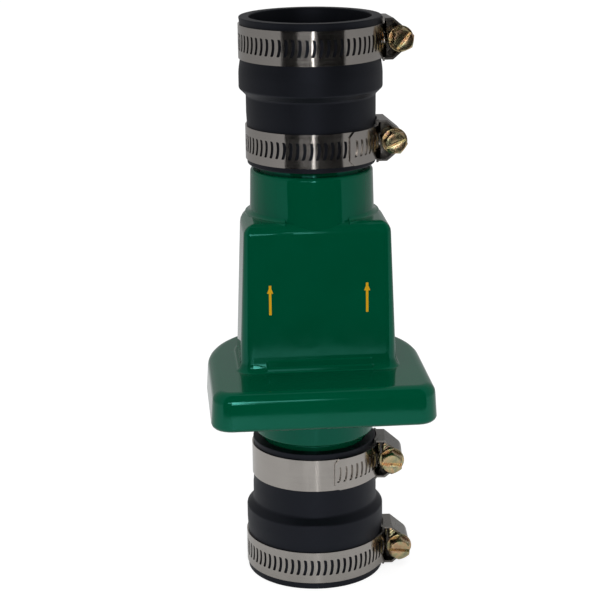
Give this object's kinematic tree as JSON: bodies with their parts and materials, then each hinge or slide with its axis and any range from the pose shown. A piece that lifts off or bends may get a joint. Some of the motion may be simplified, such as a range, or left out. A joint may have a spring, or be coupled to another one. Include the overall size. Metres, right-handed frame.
{
  "type": "non-return valve",
  "caption": "Flap non-return valve in a green moulded casing, with a stepped rubber pipe coupling on each end held by worm-drive clamps.",
  "frame": {"origin": "centre of the inlet coupling's mouth, where the pump's pipe goes in", "axes": "+Z along the flow, from inlet to outlet. -Y is the casing's flat front, over the flap's hinge. +X is the side of the clamp screws"},
  "size_m": [0.0886, 0.0944, 0.232],
  "materials": {
    "green_plastic": "glossy",
    "gasket_rubber": "matt",
    "coupling_rubber": "satin",
    "plated_steel": "satin",
    "rivet_steel": "satin",
    "band_steel": "satin",
    "housing_steel": "satin",
    "yellow_zinc": "yellow zinc plated steel"
  },
  "bodies": {
    "valve": {"upper_casing": "green_plastic", "lower_casing": "green_plastic", "casing_gasket": "gasket_rubber", "outlet_coupling": "coupling_rubber", "inlet_coupling": "coupling_rubber", "outlet_pipe_clamp_band": "band_steel", "outlet_pipe_clamp_housing": "housing_steel", "outlet_valve_clamp_band": "band_steel", "outlet_valve_clamp_housing": "housing_steel", "inlet_valve_clamp_band": "band_steel", "inlet_valve_clamp_housing": "housing_steel", "inlet_pipe_clamp_band": "band_steel", "inlet_pipe_clamp_housing": "housing_steel"},
    "flap": {"flap_disc": "gasket_rubber", "flap_weight_plate": "plated_steel", "flap_backing_washer": "plated_steel", "flap_rivet": "rivet_steel"},
    "outlet_pipe_clamp_screw": {"outlet_pipe_clamp_screw": "yellow_zinc"},
    "outlet_valve_clamp_screw": {"outlet_valve_clamp_screw": "yellow_zinc"},
    "inlet_valve_clamp_screw": {"inlet_valve_clamp_screw": "yellow_zinc"},
    "inlet_pipe_clamp_screw": {"inlet_pipe_clamp_screw": "yellow_zinc"}
  },
  "joints": [
    {"name": "flap_hinge", "type": "hinge", "parent": "valve", "child": "flap", "pos_m": [0, -0.0223, 0.0886], "axis": [1, 0, 0], "range_deg": [0, 65]},
    {"name": "outlet_pipe_clamp_screw_turn", "type": "hinge", "parent": "valve", "child": "outlet_pipe_clamp_screw", "pos_m": [0.03447, 0.00302, 0.22255], "axis": [0.0872, -0.9962, 0], "continuous": true},
    {"name": "outlet_valve_clamp_screw_turn", "type": "hinge", "parent": "valve", "child": "outlet_valve_clamp_screw", "pos_m": [0.0324, 0, 0.18265], "axis": [0, -1, 0], "continuous": true},
    {"name": "inlet_valve_clamp_screw_turn", "type": "hinge", "parent": "valve", "child": "inlet_valve_clamp_screw", "pos_m": [0.03197, -0.00336, 0.04885], "axis": [-0.1045, -0.9945, 0], "continuous": true},
    {"name": "inlet_pipe_clamp_screw_turn", "type": "hinge", "parent": "valve", "child": "inlet_pipe_clamp_screw", "pos_m": [0.035, -0.00183, 0.00955], "axis": [-0.0523, -0.9986, 0], "continuous": true}
  ]
}
